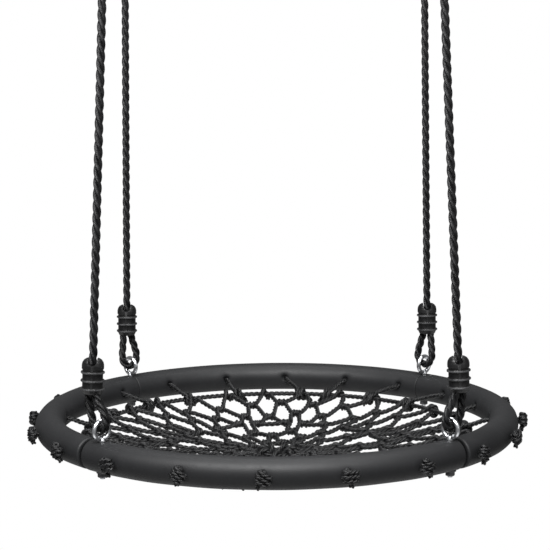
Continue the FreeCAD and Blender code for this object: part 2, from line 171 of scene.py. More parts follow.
class Nodes:
    """A material's nodes, each made by one method."""

    def __init__(self, name: str) -> None:
        self.material = bpy.data.materials.new(name)
        self.material.use_nodes = True
        self.tree = self.material.node_tree
        self.tree.nodes.clear()

    def make(
        self, kind: str, settings: dict[str, Any], inputs: dict[Any, Any]
    ) -> bpy.types.Node:
        """A node with its settings, and then its sockets' values or links.

        Args:
            kind: the node's type.
            settings: the node's own properties. "stops" fills a colour ramp.
            inputs: a value, a socket or a Wire for each input, by name or number.

        Returns:
            The node.
        """
        made = self.tree.nodes.new(kind)
        for key, value in settings.items():
            if key == "stops":
                self.fill_ramp(made, value)
            else:
                setattr(made, key, value)
        for key, value in inputs.items():
            target = made.inputs[key]
            if isinstance(value, Wire):
                self.tree.links.new(value.socket, target)
            elif isinstance(value, bpy.types.NodeSocket):
                self.tree.links.new(value, target)
            else:
                target.default_value = value
        return made

    @staticmethod
    def fill_ramp(node: bpy.types.Node, stops: Sequence[tuple[float, float]]) -> None:
        """Grey stops on a colour ramp, two or more, as places and values."""
        elements = node.color_ramp.elements
        while len(elements) < len(stops):
            elements.new(0.5)
        for element, (place, grey) in zip(elements, stops):
            element.position = place
            element.color = (grey, grey, grey, 1.0)

    def place(
        self, output: str = "Object", scale: Sequence[float] = (1.0, 1.0, 1.0), turn: float = 0.0
    ) -> bpy.types.NodeSocket:
        """The piece's Object or UV coordinates, turned about Z and then stretched."""
        coordinates = self.make("ShaderNodeTexCoord", {}, {}).outputs[output]
        turned = self.make(
            "ShaderNodeMapping", {}, {"Vector": coordinates, "Rotation": (0.0, 0.0, turn)}
        )
        return self.make(
            "ShaderNodeMapping", {}, {"Vector": turned.outputs[0], "Scale": tuple(scale)}
        ).outputs[0]

    def noise(self, at: bpy.types.NodeSocket, scale: float, detail: float = 3.0) -> Wire:
        """Cloudy noise between 0 and 1."""
        made = self.make(
            "ShaderNodeTexNoise", {}, {"Vector": at, "Scale": scale, "Detail": detail}
        )
        return Wire(self, made.outputs[0])

    def ramp(self, value: Wire, stops: Sequence[tuple[float, float]]) -> Wire:
        """A value passed through grey stops."""
        made = self.make("ShaderNodeValToRGB", {"stops": stops}, {"Fac": value})
        return Wire(self, made.outputs[0])

    def blend(self, factor: Wire, first: Any, second: Any) -> bpy.types.NodeSocket:
        """A colour between two others."""
        made = self.make(
            "ShaderNodeMix", {"data_type": "RGBA"}, {"Factor": factor, 6: first, 7: second}
        )
        return made.outputs[2]

    def finish(self, height: Wire | None, depth: float, **inputs: Any) -> bpy.types.Material:
        """A Principled surface, with a bump where it has a height.

        Args:
            height: the bump's height from 0 to 1, or None.
            depth: how deep in metres the bump looks.
            inputs: the Principled sockets, with _ for a space.

        Returns:
            The material.
        """
        sockets = {key.replace("_", " "): value for key, value in inputs.items()}
        if height is not None:
            bump = self.make(
                "ShaderNodeBump", {}, {"Height": height, "Distance": depth, "Strength": 1.0}
            )
            sockets["Normal"] = bump.outputs[0]
        shader = self.make("ShaderNodeBsdfPrincipled", {}, sockets)
        self.make("ShaderNodeOutputMaterial", {}, {"Surface": shader.outputs[0]})
        return self.material


@dataclass(frozen=True)
class FoamFinish:
    """Closed-cell foam with a satin skin, faintly rippled and pebbled."""

    dark: tuple = (0.0052, 0.0053, 0.0057, 1.0)
    light: tuple = (0.0084, 0.0086, 0.0091, 1.0)
    roughness: float = 0.46
    patches: float = 26.0
    ripples: float = 95.0
    pebbles: float = 850.0
    scuffs: float = 340.0
    depth: float = 0.0009

    def build(self) -> bpy.types.Material:
        """The foam's material."""
        n = Nodes("seat_foam_skin")
        at = n.place()
        patch = n.noise(at, self.patches)
        ripple = n.noise(at, self.ripples, 2.0)
        pebble = n.make(
            "ShaderNodeTexVoronoi", {"feature": "SMOOTH_F1"},
            {"Vector": at, "Scale": self.pebbles, "Smoothness": 0.6},
        )
        grain = Wire(n, pebble.outputs["Distance"])
        scuff = n.ramp(n.noise(at, self.scuffs, 5.0), ((0.56, 0.0), (0.74, 1.0)))
        return n.finish(
            ripple * 0.03 + grain * 0.09 + patch * 0.12, self.depth,
            Base_Color=n.blend(patch * 0.7 + scuff * 0.3, self.dark, self.light),
            Roughness=ripple * 0.12 + scuff * 0.09 + self.roughness,
            Specular_IOR_Level=0.13,
        )


@dataclass(frozen=True)
class RopeFinish:
    """Shiny black fibre: fine yarns that slant across each strand, with painted shade in the
    grooves between yarns, painted sheen as pale streaks along the yarns and fibres, and frayed
    patches where that sheen is stronger.
    """

    name: str
    yarn: float
    dark: tuple = (0.0007, 0.0007, 0.0008, 1.0)
    light: tuple = (0.0190, 0.0193, 0.0205, 1.0)
    slant: float = 0.62
    fibres: tuple = (260.0, 5200.0, 1.0)
    wear_and_sheen_scale: float = 140.0

    def build(self) -> bpy.types.Material:
        """The rope's material, on the strands' own UV map in metres."""
        n = Nodes(self.name)
        along = n.place("UV", turn=self.slant)
        wave = n.make(
            "ShaderNodeTexWave", {"bands_direction": "Y", "wave_profile": "SIN"},
            {"Vector": along, "Scale": WAVE_SCALE / self.yarn, "Distortion": 1.1,
             "Detail": 2.0, "Detail Scale": 1.5},
        )
        yarns = Wire(n, wave.outputs["Fac"])
        fibre = n.noise(n.place("UV", self.fibres, self.slant), 1.0)
        # Frayed patches: rougher, and with stronger painted sheen.
        wear_and_sheen = n.ramp(n.noise(n.place(), self.wear_and_sheen_scale), ((0.40, 0.0), (0.70, 1.0)))
        # The colour: painted shade in the grooves between yarns and painted sheen as pale streaks
        # on the yarns and fibres.
        tone = yarns * 0.45 + fibre * 0.55
        return n.finish(
            yarns * 0.6 + fibre * 0.4, self.yarn * 0.30,
            Base_Color=n.blend(tone ** 2.6 * (wear_and_sheen * 1.3 + 0.35), self.dark, self.light),
            Roughness=0.44 - fibre * 0.16 + wear_and_sheen * 0.08,
            Specular_IOR_Level=0.15,
        )


@dataclass(frozen=True)
class PlasticFinish:
    """Moulded plastic or thick paint with a fine grain, with painted shade in its recesses and
    painted highlights on its ridges.

    A piece's own "relief" attribute, from 0 in its recesses to 1 on its ridges, sets how pale the
    colour is: dark as painted shade in the recesses, pale as a patchy painted highlight on the
    ridges.
    """

    name: str
    dark: tuple = (0.0012, 0.0012, 0.0013, 1.0)
    light: tuple = (0.0300, 0.0304, 0.0315, 1.0)
    grains: float = 1500.0
    flows: float = 120.0
    depth: float = 0.00018

    def build(self) -> bpy.types.Material:
        """The material."""
        n = Nodes(self.name)
        grain = n.noise(n.place(), self.grains, 2.0)
        flow = n.noise(n.place(scale=(1.0, 1.0, 0.35)), self.flows, 4.0)
        # Patches where the painted highlight on the ridges is stronger and the surface rougher.
        rub_and_sheen = n.ramp(flow, ((0.35, 0.0), (0.70, 1.0)))
        ridges = n.make("ShaderNodeAttribute", {"attribute_name": "relief"}, {})
        relief = Wire(n, ridges.outputs["Fac"])
        # The colour: painted shade in the recesses, painted highlight on the ridges.
        return n.finish(
            grain * 0.5 + flow * 0.5, self.depth,
            Base_Color=n.blend(relief ** 3.0 * (rub_and_sheen * 0.7 + 0.3), self.dark, self.light),
            Roughness=grain * 0.10 + rub_and_sheen * 0.12 + 0.30,
            Specular_IOR_Level=0.30,
        )


@dataclass(frozen=True)
class MetalFinish:
    """Plated steel: a bright skin with cloudy matt patches and fine draw marks."""

    name: str
    dark: tuple
    light: tuple
    roughness: float
    spangles: float = 420.0
    clouds: float = 180.0
    draw: tuple = (300.0, 300.0, 2600.0)
    depth: float = 0.00006

    def build(self) -> bpy.types.Material:
        """The metal's material."""
        n = Nodes(self.name)
        at = n.place()
        cloud = n.noise(at, self.clouds, 4.0)
        marks = n.noise(n.place(scale=self.draw), 1.0, 2.0)
        cells = n.make(
            "ShaderNodeTexVoronoi", {"feature": "F1"}, {"Vector": at, "Scale": self.spangles}
        )
        tone = Wire(n, cells.outputs["Color"]) * 0.35 + cloud * 0.65
        return n.finish(
            marks * 0.6 + cloud * 0.4, self.depth,
            Base_Color=n.blend(tone, self.dark, self.light),
            Roughness=cloud * 0.16 + marks * 0.06 + self.roughness,
            Metallic=1.0,
        )


@dataclass(frozen=True)
class StageFinish:
    """Matt near-white paint on the floor."""

    name: str = "stage_floor"
    colour: tuple = (0.85, 0.85, 0.85, 1.0)

    def build(self) -> bpy.types.Material:
        """The floor's material."""
        return Nodes(self.name).finish(
            None, 0.0, Base_Color=self.colour, Roughness=0.9, Specular_IOR_Level=0.0,
        )


# Mesh work that the pieces share


class Skin:
    """Gathers rows of rings of points and makes one piece of them, with a UV map in metres."""

    def __init__(self, name: str) -> None:
        self.name = name
        self.points: list[np.ndarray] = []
        self.faces: list[Sequence[int]] = []
        self.maps: list[np.ndarray] = []
        self.count = 0

    def tube(
        self, rings: np.ndarray, along: np.ndarray, around: np.ndarray, closed: bool
    ) -> None:
        """Adds a tube.

        Args:
            rings: points by place along the tube, place round it, and axis. Each ring is
                counter-clockwise for one who looks back along the tube.
            along: each ring's place on the UV map, with one more for the end if closed.
            around: each place round a ring, with one more for its end.
            closed: whether the last ring joins the first, instead of both ends being capped.
        """
        rows, sides = rings.shape[:2]
        runs = rows if closed else rows - 1
        i = np.repeat(np.arange(runs), sides)
        j = np.tile(np.arange(sides), runs)
        after, beside = (i + 1) % rows, (j + 1) % sides
        quads = np.stack(
            [i * sides + j, i * sides + beside, after * sides + beside, after * sides + j], 1
        )
        self.faces += (quads + self.count).tolist()
        corners = [(i, j), (i, j + 1), (i + 1, j + 1), (i + 1, j)]
        self.maps.append(
            np.stack([np.stack([along[u], around[v]], 1) for u, v in corners], 1).reshape(-1, 2)
        )
        if not closed:
            first = np.arange(sides)[::-1] + self.count
            last = np.arange(sides) + self.count + (rows - 1) * sides
            for cap, row in ((first, 0), (last, -1)):
                self.faces.append(cap.tolist())
                self.maps.append(np.stack([np.full(sides, along[row]), around[:sides]], 1))
        self.points.append(rings.reshape(-1, 3))
        self.count += rows * sides

    def build(self) -> bpy.types.Object:
        """The gathered tubes as one smooth piece."""
        mesh = bpy.data.meshes.new(self.name)
        mesh.from_pydata(np.concatenate(self.points).tolist(), [], self.faces)
        layer = mesh.uv_layers.new(name="UVMap")
        layer.data.foreach_set("uv", np.concatenate(self.maps).astype(np.float32).ravel())
        mesh.polygons.foreach_set("use_smooth", np.ones(len(mesh.polygons), bool))
        mesh.update()
        piece = bpy.data.objects.new(self.name, mesh)
        bpy.context.scene.collection.objects.link(piece)
        return piece


def spline(controls: Iterable[Sequence[float]], cyclic: bool) -> bpy.types.Object:
    """A curve object of one smooth NURBS spline.

    Args:
        controls: its control points.
        cyclic: whether its end joins its start.

    Returns:
        The curve, in the scene, with no thickness.
    """
    curve = bpy.data.curves.new("guide", "CURVE")
    curve.dimensions = "3D"
    curve.resolution_u = 8
    run = curve.splines.new("NURBS")
    places = [tuple(p) for p in controls]
    run.points.add(len(places) - 1)
    for point, place in zip(run.points, places):
        point.co = (*place, 1.0)
    run.order_u = 3
    run.use_cyclic_u = cyclic
    run.use_endpoint_u = not cyclic
    made = bpy.data.objects.new("guide", curve)
    bpy.context.scene.collection.objects.link(made)
    return made


def route(controls: Iterable[Sequence[float]], step: float, cyclic: bool = False) -> np.ndarray:
    """Evenly spaced points read from a smooth spline.

    Args:
        controls: the spline's control points.
        step: the longest distance between two points.
        cyclic: whether the spline's end joins its start.

    Returns:
        The points. A closed route doesn't repeat its first point.
    """
    guide = spline(controls, cyclic)
    evaluated = guide.evaluated_get(bpy.context.evaluated_depsgraph_get())
    mesh = bpy.data.meshes.new_from_object(evaluated)
    read = np.array([v.co for v in mesh.vertices], float)
    data = guide.data
    bpy.data.objects.remove(guide)
    bpy.data.curves.remove(data)
    bpy.data.meshes.remove(mesh)
    if cyclic:
        read = np.vstack([read, read[:1]])
    lengths = np.concatenate([[0.0], np.cumsum(np.linalg.norm(np.diff(read, axis=0), axis=1))])
    count = max(4, math.ceil(lengths[-1] / step))
    places = np.linspace(0.0, lengths[-1], count + 1)[: count if cyclic else None]
    return np.stack([np.interp(places, lengths, read[:, k]) for k in range(3)], 1)


def unit(rows: np.ndarray) -> np.ndarray:
    """Each row at length 1."""
    return rows / np.maximum(np.linalg.norm(rows, axis=-1, keepdims=True), 1e-12)


def tangents(points: np.ndarray, closed: bool) -> np.ndarray:
    """The direction of a line of points at each of them."""
    if closed:
        return unit(np.roll(points, -1, 0) - np.roll(points, 1, 0))
    return unit(np.gradient(points, axis=0))


def carried_normals(ahead: np.ndarray) -> np.ndarray:
    """Normals carried along a line of directions with no twist of their own."""
    level = abs(ahead[0][2]) < 0.9
    start = np.cross(ahead[0], (0.0, 0.0, 1.0) if level else (1.0, 0.0, 0.0))
    normals = [start / np.linalg.norm(start)]
    for direction in ahead[1:]:
        carried = normals[-1] - direction * (normals[-1] @ direction)
        normals.append(carried / np.linalg.norm(carried))
    return np.array(normals)


@dataclass(frozen=True)
class Rope:
    """A laid rope of three strands.

    The crown and the fullness are a strand's distance from the rope's centreline and its
    radius, both as shares of the rope's diameter. The shift parts the strands' patterns.
    """

    diameter: float
    lay: float
    sides: int
    step: float
    hand: Hand = Hand.LEFT
    strands: int = 3
    crown: float = 0.255
    fullness: float = 0.245
    shift: float = 0.37

    def wind(
        self, skin: Skin, points: np.ndarray, closed: bool = False, start: float = 0.0
    ) -> None:
        """Adds the rope's strands along a line of points.

        Args:
            skin: what gathers the strands.
            points: the rope's centreline, evenly spaced.
            closed: whether the centreline's end joins its start.
            start: how far the strands are turned at the first point, in radians.
        """
        ahead = tangents(points, closed)
        side = carried_normals(ahead)
        up = np.cross(ahead, side)
        gap = np.linalg.norm(np.diff(points, axis=0), axis=1).mean()
        rows = len(points)
        length = gap * (rows if closed else rows - 1)
        turns = self.hand.value * length / self.lay
        twist = 0.0
        if closed:
            last = side[-1] - ahead[0] * (side[-1] @ ahead[0])
            twist = math.atan2(last @ up[0], last @ side[0])
            turns = round(turns)
        share = np.arange(rows) * gap / length
        angle = start + (2.0 * math.pi * turns - twist) * share
        rim = np.linspace(math.pi, 3.0 * math.pi, self.sides + 1)
        along = np.arange(rows + 1) * gap
        radius = self.fullness * self.diameter
        for k in range(self.strands):
            lead = angle + 2.0 * math.pi * k / self.strands
            out = np.cos(lead)[:, None] * side + np.sin(lead)[:, None] * up
            middle = points + out * self.crown * self.diameter
            run = tangents(middle, closed)
            across = unit(np.cross(run, out))
            out = np.cross(across, run)
            rings = (
                middle[:, None]
                + radius * np.cos(rim[:-1])[None, :, None] * out[:, None]
                + radius * np.sin(rim[:-1])[None, :, None] * across[:, None]
            )
            skin.tube(rings, along + k * self.shift, rim * radius, closed)


ROPE_10 = Rope(diameter=0.010, lay=0.040, sides=12, step=0.0016)
LOOP_10 = Rope(diameter=0.010, lay=0.033, sides=12, step=0.0013)
NET_6 = Rope(diameter=0.0065, lay=0.021, sides=7, step=0.0017)
TIE_6 = Rope(diameter=0.0064, lay=0.017, sides=7, step=0.0012)


def deselect() -> None:
    """Leaves object mode with nothing selected."""
    if bpy.context.mode != "OBJECT":
        bpy.ops.object.mode_set(mode="OBJECT")
    bpy.ops.object.select_all(action="DESELECT")


def activate(piece: bpy.types.Object) -> None:
    """Selects only this piece."""
    deselect()
    piece.select_set(True)
    bpy.context.view_layer.objects.active = piece


def torus(
    name: str, radius: float, wire: float, height: float, segments: int
) -> bpy.types.Object:
    """A ring of round wire, upright in the world's XZ plane, its middle at a height."""
    deselect()
    bpy.ops.mesh.primitive_torus_add(
        major_radius=radius, minor_radius=wire, major_segments=segments, minor_segments=24,
        location=(0.0, 0.0, height), rotation=(math.pi / 2.0, 0.0, 0.0),
    )
    ring = bpy.context.object
    ring.name = name
    bpy.ops.object.transform_apply(location=True, rotation=True, scale=True)
    return ring


def turned(
    name: str, outline: Sequence[tuple[float, float]], steps: int, rounding: float
) -> bpy.types.Object:
    """A piece of revolution about Z.

    Args:
        name: the piece's name.
        outline: radii and heights, drawn from one end to the other.
        steps: facets round the piece.
        rounding: how far from each corner its rounding starts.

    Returns:
        The piece, round the world's Z axis.
    """
    deselect()
    bpy.ops.mesh.primitive_plane_add(size=0.01, location=(0.0, 0.0, 0.0))
    piece = bpy.context.object
    piece.name = name
    bpy.ops.object.mode_set(mode="EDIT")
    bpy.ops.mesh.select_all(action="SELECT")
    bpy.ops.mesh.merge(type="CENTER")
    corners = [Vector((radius, 0.0, height)) for radius, height in outline]
    bpy.ops.transform.translate(value=corners[0])
    for here, there in zip(corners, corners[1:]):
        bpy.ops.mesh.extrude_vertices_move(TRANSFORM_OT_translate={"value": there - here})
    bpy.ops.mesh.select_all(action="SELECT")
    if rounding:
        bpy.ops.mesh.bevel(affect="VERTICES", offset=rounding, segments=3, clamp_overlap=True)
        bpy.ops.mesh.select_all(action="SELECT")
    bpy.ops.mesh.spin(
        steps=steps, angle=2.0 * math.pi, center=(0.0, 0.0, 0.0), axis=(0.0, 0.0, 1.0)
    )
    bpy.ops.mesh.select_all(action="SELECT")
    bpy.ops.mesh.remove_doubles(threshold=1e-6)
    bpy.ops.mesh.normals_make_consistent(inside=False)
    deselect()
    return piece


def apply_modifiers(piece: bpy.types.Object) -> None:
    """Applies every modifier on a piece."""
    activate(piece)
    for modifier in list(piece.modifiers):
        bpy.ops.object.modifier_apply(modifier=modifier.name)


def combine(piece: bpy.types.Object, tool: bpy.types.Object, operation: str) -> None:
    """Joins, cuts or crosses a piece with a tool, which is used up."""
    boolean = piece.modifiers.new("shape", "BOOLEAN")
    boolean.operation = operation
    boolean.solver = "EXACT"
    boolean.object = tool
    apply_modifiers(piece)
    bpy.data.objects.remove(tool)


def soften(piece: bpy.types.Object, width: float, angle: float = 40.0) -> None:
    """Bevels a piece's sharp edges and shades the rest smooth."""
    bevel = piece.modifiers.new("edges", "BEVEL")
    bevel.width = width
    bevel.segments = 2
    bevel.limit_method = "ANGLE"
    bevel.angle_limit = math.radians(angle)
    bevel.use_clamp_overlap = True
    apply_modifiers(piece)
    activate(piece)
    bpy.ops.object.shade_smooth_by_angle(angle=math.radians(angle))
    deselect()


def copy_to(piece: bpy.types.Object, name: str, place: Matrix) -> bpy.types.Object:
    """A copy with its own mesh, moved there in its mesh."""
    made = piece.copy()
    made.data = piece.data.copy()
    made.name = made.data.name = name
    made.data.transform(place)
    bpy.context.scene.collection.objects.link(made)
    return made


def place_of(origin: Vector, across: Vector, along: Vector) -> Matrix:
    """A place whose Z lies along one direction and whose X is as near another as it can be."""
    up = along.normalized()
    side = (across - up * across.dot(up)).normalized()
    turn = Matrix((side, up.cross(side), up)).transposed()
    return Matrix.Translation(origin) @ turn.to_4x4()


def rope_end(side: int, end: int, height: float) -> Vector:
    """A point on a hanging rope's centreline, at a height above the ring's middle plane."""
    low, high = (0.2090, 0.1850) if end < 0 else (0.2032, 0.1967)
    x = low + (high - low) * (height - FERRULE_FOOT) / (LOOP_CROWN - FERRULE_FOOT)
    return Vector((side * x, end * CORNER, height - HANG))


def rope_line(side: int, end: int) -> tuple[Vector, Vector, Vector]:
    """A hanging rope's foot, the point that it hangs from, and the direction up it."""
    low, high = rope_end(side, end, FERRULE_FOOT), rope_end(side, end, LOOP_CROWN)
    return low, high, (high - low).normalized()


def dress(
    piece: bpy.types.Object, material: bpy.types.Material, slot: Slot, body: str, *nodes: str
) -> None:
    """Gives a piece its finish and its body, and hides the nodes it stands for."""
    piece.data.materials.clear()
    piece.data.materials.append(material)
    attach(piece, body)
    if nodes:
        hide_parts(*nodes)
    LOG.info("%s: %d faces on %s", piece.name, len(piece.data.polygons), body)


# The swing


@dataclass(frozen=True)
class Cut:
    """Where two foam sleeves end: an open slit or a closed seam."""

    angle: float
    gap: float
    lip: float


@dataclass(frozen=True)
class Dimple:
    """The hollow that every lashing presses into one side of the foam.

    Its face is the angle of that side round the sleeve. Its hole is the depth of the small
    mouth at its middle, and its sway and drop are how far it is out of line.
    """

    face: float
    deep: float
    wide: float
    hole: float
    sway: float
    drop: float


KNOT_SIDE = Dimple(0.0, 0.0011, 0.0125, 0.0, 0.0, 0.0)
NET_SIDE = Dimple(math.pi, 0.0022, 0.0115, 0.0030, 0.0016, 0.0012)
SLIT_LEFT, SLIT_RIGHT = Cut(-49.0, 1.1, 0.0024), Cut(47.0, 1.1, 0.0024)
SEAM_RIGHT, SEAM_LEFT = Cut(135.0, 0.12, 0.0009), Cut(225.0, 0.12, 0.0009)


@dataclass
class SeatPad:
    """Four foam sleeves round the steel ring, dimpled by the lashings and the eyebolts."""

    radius: float = 0.0185
    bore: float = 0.0127
    across: int = 64
    arc: float = 0.30
    inner_rows: int = 48
    fall: float = 0.55
    mouth_edge: float = 0.0026
    mouth_fade: float = 0.0022
    ripple: float = 0.00012
    ripples_round: float = 23.0
    ripples_across: float = 2.0
    washer_edge: float = 0.0085
    washer_fade: float = 0.0060
    washer_height: float = 0.0171
    spans: dict[str, tuple[Cut, Cut]] = field(
        default_factory=lambda: {
            "front": (SLIT_LEFT, SLIT_RIGHT),
            "right": (SLIT_RIGHT, SEAM_RIGHT),
            "rear": (SEAM_RIGHT, SEAM_LEFT),
            "left": (SEAM_LEFT, SLIT_LEFT),
        }
    )

    def hollow(self, angles: np.ndarray, rim: np.ndarray) -> np.ndarray:
        """How far the skin is pressed in.

        Args:
            angles: places round the ring, in degrees.
            rim: places round the sleeve, in radians from its outermost line, upwards.

        Returns:
            The depth at each pair of places.
        """
        depth = np.zeros((len(angles), len(rim)))
        for k, lash in enumerate(LASH_ANGLES):
            run = run_from(lash, angles)
            for mark in (KNOT_SIDE, NET_SIDE):
                lift = ((rim - mark.face + math.pi) % (2.0 * math.pi) - math.pi) * self.radius
                pull = mark.sway * math.sin(2.4 * k)
                gap = np.hypot((run - pull)[:, None], (lift + mark.drop)[None, :])
                depth += mark.deep * np.exp(-((gap / (mark.wide * self.fall)) ** 2))
                depth += mark.hole * smooth(self.mouth_edge, self.mouth_fade, gap)
        return depth

    def swept(
        self, radii: np.ndarray | float, angles: np.ndarray, rim: np.ndarray
    ) -> np.ndarray:
        """Points round the ring, by place along the sleeve, place round it, and axis."""
        a = np.radians(angles)[:, None]
        reach = RING + radii * np.cos(rim)[None, :]
        height = radii * np.sin(rim)[None, :] - HANG
        return np.stack([reach * np.sin(a), -reach * np.cos(a), height + 0 * a], 2)

    def sleeve(self, name: str, before: Cut, after: Cut) -> bpy.types.Object:
        """One sleeve between two cuts.

        Args:
            name: the piece's name.
            before: the cut where it starts.
            after: the cut where it ends.

        Returns:
            The piece: its skin, its rounded ends and its bore.
        """
        first = before.angle + before.gap / 2.0
        last = after.angle - after.gap / 2.0
        if last < first:
            last += 360.0
        span = math.radians(last - first) * RING
        count = math.ceil((last - first) / self.arc)
        inner = np.linspace(before.lip, span - after.lip, count)
        ease = 1.0 - np.cos(np.linspace(0.0, math.pi / 2.0, 6)[:-1])
        runs = np.concatenate([before.lip * ease, inner, span - (after.lip * ease)[::-1]])
        rim = np.linspace(0.0, 2.0 * math.pi, self.across + 1)[:-1]
        angles = first + np.degrees(runs / RING)
        fall = np.zeros(len(runs))
        for lip, edge in ((before.lip, runs), (after.lip, span - runs)):
            short = np.clip(lip - edge, 0.0, lip)
            fall += lip - np.sqrt(lip**2 - short**2)
        radii = self.radius - self.hollow(angles, rim) - fall[:, None]
        round_ring = np.radians(angles)[:, None]
        wave = np.sin(round_ring * self.ripples_round + 0.7)
        wave = wave * np.sin(rim * self.ripples_across + 0.3)[None, :]
        radii = radii - self.ripple * (1.0 + wave)
        for corner in (45.0, 135.0, 225.0, 315.0):
            side = radii * np.cos(rim)[None, :]
            height = radii * np.sin(rim)[None, :]
            gap = np.hypot(run_from(corner, angles)[:, None], side)
            press = smooth(self.washer_edge, self.washer_fade, gap)
            over = np.maximum(0.0, np.abs(height) - self.washer_height) * press
            radii = radii - over * (np.abs(np.sin(rim)) > 0.5)[None, :]
        bore = np.full((1, len(rim)), self.bore)
        radii = np.vstack([bore, radii, bore])
        angles = np.concatenate([angles[:1], angles, angles[-1:]])
        back = np.linspace(angles[-1], angles[0], self.inner_rows)[1:-1]
        rings = np.vstack([self.swept(radii, angles, rim), self.swept(self.bore, back, rim)])
        along = np.radians(np.concatenate([angles, back, angles[:1]])) * RING
        around = np.linspace(0.0, 2.0 * math.pi, self.across + 1) * self.radius
        skin = Skin(name)
        skin.tube(rings[:, ::-1], along, around[::-1], True)
        return skin.build()

    def build(self) -> None:
        material = FoamFinish().build()
        for name, (before, after) in self.spans.items():
            piece = self.sleeve(f"foam_pad_{name}", before, after)
            dress(piece, material, Slot.FOAM, "seat", f"foam_sleeve_{name}")


@dataclass
class SteelRing:
    """The black painted tube inside the foam, which shows in the slits and the bolt holes."""

    nodes: tuple[str, ...] = tuple(
        f"ring_tube_{part}" for part in ("front", "right", "rear", "left")
    )
    dark: tuple = (0.004, 0.004, 0.004, 1.0)
    light: tuple = (0.012, 0.012, 0.013, 1.0)

    def build(self) -> None:
        """Gives the four tubes their finish."""
        material = PlasticFinish("tube_paint", self.dark, self.light).build()
        for name in self.nodes:
            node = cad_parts[name]
            node.data.materials.clear()
            node.data.materials.append(material)
            LOG.info("%s: finish", name)


